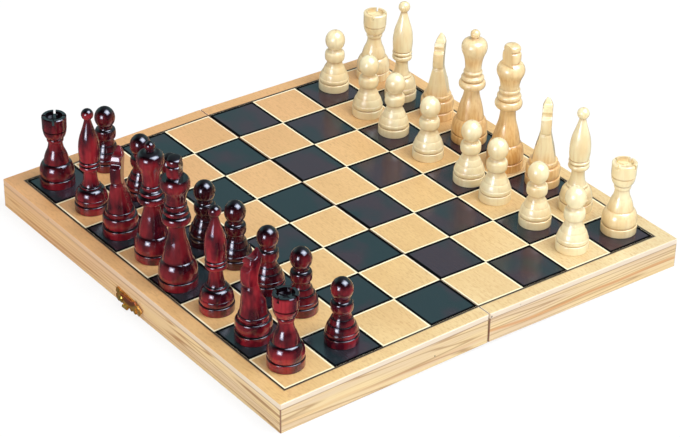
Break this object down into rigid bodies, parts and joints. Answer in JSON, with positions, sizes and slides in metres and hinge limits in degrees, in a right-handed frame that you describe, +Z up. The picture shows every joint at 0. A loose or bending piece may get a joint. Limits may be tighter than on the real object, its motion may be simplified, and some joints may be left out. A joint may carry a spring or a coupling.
{
  "type": "folding chess box",
  "caption": "Shallow hinged wooden box whose opened backs form a chessboard, with a brass hook latch and a full set of turned wooden chessmen standing in their opening places.",
  "frame": {"origin": "on the table under the middle of the fold of the opened board", "axes": "+X across the fold from the red player's half to the white player's half, +Y along the fold from the near edge to the far edge, +Z up from the table"},
  "size_m": [0.3094, 0.302, 0.1078],
  "materials": {
    "birch_panel": "clear satin varnish on birch plywood, honey coloured, fine flecked grain",
    "dark_veneer": "black-stained veneer under satin varnish",
    "line_veneer": "thin dark brown inlaid line under satin varnish",
    "pine_wall": "planed pine with long orange-brown grain lines, thin satin varnish",
    "stamped_brass": "stamped brass, lightly tarnished",
    "brass_pins": "bright brass nail, screw and rivet heads",
    "red_lacquer": "turned hardwood stained dark red under gloss lacquer",
    "natural_varnish": "turned pale boxwood-coloured hardwood under gloss varnish"
  },
  "bodies": {
    "red_half": {"red_panel": "birch_panel", "red_dark_squares": "dark_veneer", "red_field_line": "line_veneer", "red_outer_wall": "pine_wall", "red_inner_wall": "pine_wall", "red_near_wall": "pine_wall", "red_far_wall": "pine_wall", "red_hinge_leaf_near": "stamped_brass", "red_hinge_leaf_far": "stamped_brass", "hinge_pins": "brass_pins", "red_hinge_screws": "brass_pins", "hook_plate": "stamped_brass", "hook_plate_nails": "brass_pins", "hook_rivet": "brass_pins"},
    "white_half": {"white_panel": "birch_panel", "white_dark_squares": "dark_veneer", "white_field_line": "line_veneer", "white_outer_wall": "pine_wall", "white_inner_wall": "pine_wall", "white_near_wall": "pine_wall", "white_far_wall": "pine_wall", "white_hinge_leaf_near": "stamped_brass", "white_hinge_leaf_far": "stamped_brass", "white_hinge_screws": "brass_pins", "keeper_plate": "stamped_brass", "keeper_nails": "brass_pins", "keeper_stud": "brass_pins"},
    "hook": {"hook_arm": "stamped_brass"},
    "red_rook_near": {"red_rook_near": "red_lacquer"},
    "red_knight_near": {"red_knight_near": "red_lacquer"},
    "red_bishop_near": {"red_bishop_near": "red_lacquer"},
    "red_king": {"red_king": "red_lacquer"},
    "red_queen": {"red_queen": "red_lacquer"},
    "red_knight_far": {"red_knight_far": "red_lacquer"},
    "red_bishop_far": {"red_bishop_far": "red_lacquer"},
    "red_rook_far": {"red_rook_far": "red_lacquer"},
    "red_pawn_1": {"red_pawn_1": "red_lacquer"},
    "red_pawn_2": {"red_pawn_2": "red_lacquer"},
    "red_pawn_3": {"red_pawn_3": "red_lacquer"},
    "red_pawn_4": {"red_pawn_4": "red_lacquer"},
    "red_pawn_5": {"red_pawn_5": "red_lacquer"},
    "red_pawn_6": {"red_pawn_6": "red_lacquer"},
    "red_pawn_7": {"red_pawn_7": "red_lacquer"},
    "red_pawn_8": {"red_pawn_8": "red_lacquer"},
    "white_rook_near": {"white_rook_near": "natural_varnish"},
    "white_bishop_near": {"white_bishop_near": "natural_varnish"},
    "white_knight_near": {"white_knight_near": "natural_varnish"},
    "white_king": {"white_king": "natural_varnish"},
    "white_queen": {"white_queen": "natural_varnish"},
    "white_knight_far": {"white_knight_far": "natural_varnish"},
    "white_bishop_far": {"white_bishop_far": "natural_varnish"},
    "white_rook_far": {"white_rook_far": "natural_varnish"},
    "white_pawn_1": {"white_pawn_1": "natural_varnish"},
    "white_pawn_2": {"white_pawn_2": "natural_varnish"},
    "white_pawn_3": {"white_pawn_3": "natural_varnish"},
    "white_pawn_4": {"white_pawn_4": "natural_varnish"},
    "white_pawn_5": {"white_pawn_5": "natural_varnish"},
    "white_pawn_6": {"white_pawn_6": "natural_varnish"},
    "white_pawn_7": {"white_pawn_7": "natural_varnish"},
    "white_pawn_8": {"white_pawn_8": "natural_varnish"}
  },
  "joints": [
    {"name": "fold_hinge", "type": "hinge", "parent": "red_half", "child": "white_half", "pos_m": [0, 0, 0.0021], "axis": [0, 1, 0], "range_deg": [-1.71, 178.29]},
    {"name": "hook_swing", "type": "hinge", "parent": "red_half", "child": "hook", "pos_m": [-0.15256, 0.01, 0.00523], "axis": [0.9999, 0, 0.0149], "range_deg": [-90, 90]},
    {"name": "lift_red_rook_near", "type": "slide", "parent": "red_half", "child": "red_rook_near", "axis": [-0.0149, 0, 0.9999], "range_m": [0, 0.1]},
    {"name": "lift_red_knight_near", "type": "slide", "parent": "red_half", "child": "red_knight_near", "axis": [-0.0149, 0, 0.9999], "range_m": [0, 0.1]},
    {"name": "lift_red_bishop_near", "type": "slide", "parent": "red_half", "child": "red_bishop_near", "axis": [-0.0149, 0, 0.9999], "range_m": [0, 0.1]},
    {"name": "lift_red_king", "type": "slide", "parent": "red_half", "child": "red_king", "axis": [-0.0149, 0, 0.9999], "range_m": [0, 0.1]},
    {"name": "lift_red_queen", "type": "slide", "parent": "red_half", "child": "red_queen", "axis": [-0.0149, 0, 0.9999], "range_m": [0, 0.1]},
    {"name": "lift_red_knight_far", "type": "slide", "parent": "red_half", "child": "red_knight_far", "axis": [-0.0149, 0, 0.9999], "range_m": [0, 0.1]},
    {"name": "lift_red_bishop_far", "type": "slide", "parent": "red_half", "child": "red_bishop_far", "axis": [-0.0149, 0, 0.9999], "range_m": [0, 0.1]},
    {"name": "lift_red_rook_far", "type": "slide", "parent": "red_half", "child": "red_rook_far", "axis": [-0.0149, 0, 0.9999], "range_m": [0, 0.1]},
    {"name": "lift_red_pawn_1", "type": "slide", "parent": "red_half", "child": "red_pawn_1", "axis": [-0.0149, 0, 0.9999], "range_m": [0, 0.1]},
    {"name": "lift_red_pawn_2", "type": "slide", "parent": "red_half", "child": "red_pawn_2", "axis": [-0.0149, 0, 0.9999], "range_m": [0, 0.1]},
    {"name": "lift_red_pawn_3", "type": "slide", "parent": "red_half", "child": "red_pawn_3", "axis": [-0.0149, 0, 0.9999], "range_m": [0, 0.1]},
    {"name": "lift_red_pawn_4", "type": "slide", "parent": "red_half", "child": "red_pawn_4", "axis": [-0.0149, 0, 0.9999], "range_m": [0, 0.1]},
    {"name": "lift_red_pawn_5", "type": "slide", "parent": "red_half", "child": "red_pawn_5", "axis": [-0.0149, 0, 0.9999], "range_m": [0, 0.1]},
    {"name": "lift_red_pawn_6", "type": "slide", "parent": "red_half", "child": "red_pawn_6", "axis": [-0.0149, 0, 0.9999], "range_m": [0, 0.1]},
    {"name": "lift_red_pawn_7", "type": "slide", "parent": "red_half", "child": "red_pawn_7", "axis": [-0.0149, 0, 0.9999], "range_m": [0, 0.1]},
    {"name": "lift_red_pawn_8", "type": "slide", "parent": "red_half", "child": "red_pawn_8", "axis": [-0.0149, 0, 0.9999], "range_m": [0, 0.1]},
    {"name": "lift_white_rook_near", "type": "slide", "parent": "white_half", "child": "white_rook_near", "axis": [0.0149, 0, 0.9999], "range_m": [0, 0.1]},
    {"name": "lift_white_bishop_near", "type": "slide", "parent": "white_half", "child": "white_bishop_near", "axis": [0.0149, 0, 0.9999], "range_m": [0, 0.1]},
    {"name": "lift_white_knight_near", "type": "slide", "parent": "white_half", "child": "white_knight_near", "axis": [0.0149, 0, 0.9999], "range_m": [0, 0.1]},
    {"name": "lift_white_king", "type": "slide", "parent": "white_half", "child": "white_king", "axis": [0.0149, 0, 0.9999], "range_m": [0, 0.1]},
    {"name": "lift_white_queen", "type": "slide", "parent": "white_half", "child": "white_queen", "axis": [0.0149, 0, 0.9999], "range_m": [0, 0.1]},
    {"name": "lift_white_knight_far", "type": "slide", "parent": "white_half", "child": "white_knight_far", "axis": [0.0149, 0, 0.9999], "range_m": [0, 0.1]},
    {"name": "lift_white_bishop_far", "type": "slide", "parent": "white_half", "child": "white_bishop_far", "axis": [0.0149, 0, 0.9999], "range_m": [0, 0.1]},
    {"name": "lift_white_rook_far", "type": "slide", "parent": "white_half", "child": "white_rook_far", "axis": [0.0149, 0, 0.9999], "range_m": [0, 0.1]},
    {"name": "lift_white_pawn_1", "type": "slide", "parent": "white_half", "child": "white_pawn_1", "axis": [0.0149, 0, 0.9999], "range_m": [0, 0.1]},
    {"name": "lift_white_pawn_2", "type": "slide", "parent": "white_half", "child": "white_pawn_2", "axis": [0.0149, 0, 0.9999], "range_m": [0, 0.1]},
    {"name": "lift_white_pawn_3", "type": "slide", "parent": "white_half", "child": "white_pawn_3", "axis": [0.0149, 0, 0.9999], "range_m": [0, 0.1]},
    {"name": "lift_white_pawn_4", "type": "slide", "parent": "white_half", "child": "white_pawn_4", "axis": [0.0149, 0, 0.9999], "range_m": [0, 0.1]},
    {"name": "lift_white_pawn_5", "type": "slide", "parent": "white_half", "child": "white_pawn_5", "axis": [0.0149, 0, 0.9999], "range_m": [0, 0.1]},
    {"name": "lift_white_pawn_6", "type": "slide", "parent": "white_half", "child": "white_pawn_6", "axis": [0.0149, 0, 0.9999], "range_m": [0, 0.1]},
    {"name": "lift_white_pawn_7", "type": "slide", "parent": "white_half", "child": "white_pawn_7", "axis": [0.0149, 0, 0.9999], "range_m": [0, 0.1]},
    {"name": "lift_white_pawn_8", "type": "slide", "parent": "white_half", "child": "white_pawn_8", "axis": [0.0149, 0, 0.9999], "range_m": [0, 0.1]}
  ]
}
